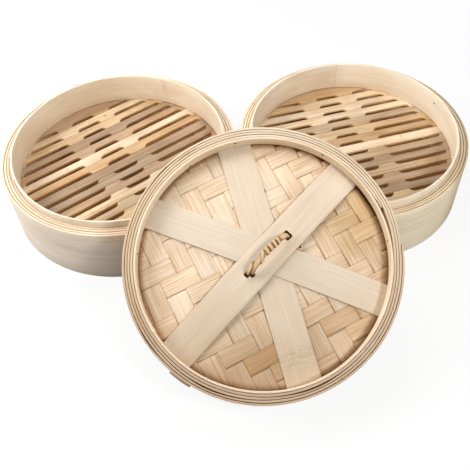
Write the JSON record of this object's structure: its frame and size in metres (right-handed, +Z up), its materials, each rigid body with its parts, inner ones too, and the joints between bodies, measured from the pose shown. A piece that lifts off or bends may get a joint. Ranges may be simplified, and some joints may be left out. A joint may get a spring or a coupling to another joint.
{
  "type": "bamboo steamer",
  "caption": "Round stacking steamer of wound bamboo with slotted slat floors, and a woven lid with a cane handle leaning on the baskets.",
  "frame": {"origin": "under the middle of the whole object, on the table", "axes": "+X along the row from the left basket to the right one, +Y from the lid back to the baskets, +Z up"},
  "size_m": [0.5106, 0.4278, 0.1483],
  "materials": {
    "wound_bamboo": "planed bamboo strip, matt, with fine fibres",
    "hoop_bamboo": "thin bent bamboo, satin",
    "slat_bamboo": "split bamboo slats of mixed tone, satin",
    "woven_bamboo": "woven bamboo splints, satin with glossy fibres",
    "strap_bamboo": "wide bamboo strap, satin",
    "cane": "twisted cane, satin",
    "peg_bamboo": "dark bamboo peg"
  },
  "bodies": {
    "left_basket": {"left_hoop_peg": "peg_bamboo", "left_ring_peg_1": "peg_bamboo", "left_ring_peg_2": "peg_bamboo", "left_wound_wall": "wound_bamboo", "left_upper_hoop": "hoop_bamboo", "left_lower_ring": "hoop_bamboo", "left_slat_01": "slat_bamboo", "left_slat_02": "slat_bamboo", "left_slat_03": "slat_bamboo", "left_slat_04": "slat_bamboo", "left_slat_05": "slat_bamboo", "left_slat_06": "slat_bamboo", "left_slat_07": "slat_bamboo", "left_slat_08": "slat_bamboo", "left_slat_09": "slat_bamboo", "left_slat_10": "slat_bamboo", "left_slat_11": "slat_bamboo", "left_slat_12": "slat_bamboo", "left_slat_13": "slat_bamboo", "left_slat_14": "slat_bamboo", "left_slat_15": "slat_bamboo", "left_crossbar_1": "slat_bamboo", "left_crossbar_2": "slat_bamboo", "left_slat_nail": "peg_bamboo"},
    "right_basket": {"right_hoop_peg": "peg_bamboo", "right_ring_peg": "peg_bamboo", "right_wound_wall": "wound_bamboo", "right_upper_hoop": "hoop_bamboo", "right_lower_ring": "hoop_bamboo", "right_slat_01": "slat_bamboo", "right_slat_02": "slat_bamboo", "right_slat_03": "slat_bamboo", "right_slat_04": "slat_bamboo", "right_slat_05": "slat_bamboo", "right_slat_06": "slat_bamboo", "right_slat_07": "slat_bamboo", "right_slat_08": "slat_bamboo", "right_slat_09": "slat_bamboo", "right_slat_10": "slat_bamboo", "right_slat_11": "slat_bamboo", "right_slat_12": "slat_bamboo", "right_slat_13": "slat_bamboo", "right_slat_14": "slat_bamboo", "right_slat_15": "slat_bamboo", "right_crossbar_1": "slat_bamboo", "right_crossbar_2": "slat_bamboo"},
    "lid": {"lid_peg_1": "peg_bamboo", "lid_peg_2": "peg_bamboo", "lid_peg_3": "peg_bamboo", "lid_peg_4": "peg_bamboo", "lid_peg_5": "peg_bamboo", "lid_wound_skirt": "wound_bamboo", "lid_upper_ring": "hoop_bamboo", "lid_lower_ring": "hoop_bamboo", "lid_woven_panel": "woven_bamboo", "lid_lining": "woven_bamboo", "lid_strap_lower": "strap_bamboo", "lid_strap_middle": "strap_bamboo", "lid_strap_upper": "strap_bamboo"},
    "handle": {"lid_handle": "cane"}
  },
  "joints": [
    {"name": "right_basket_draw_out", "type": "slide", "parent": "left_basket", "child": "right_basket", "axis": [0, 0.9385, 0.3451], "range_m": [0, 0.2]},
    {"name": "lid_lift", "type": "slide", "parent": "left_basket", "child": "lid", "axis": [0, 0, 1], "range_m": [0, 0.2]},
    {"name": "handle_swing", "type": "hinge", "parent": "lid", "child": "handle", "pos_m": [0.01946, -0.09061, 0.09183], "axis": [0.727, 0.625, 0.2844], "range_deg": [-25, 25]}
  ]
}
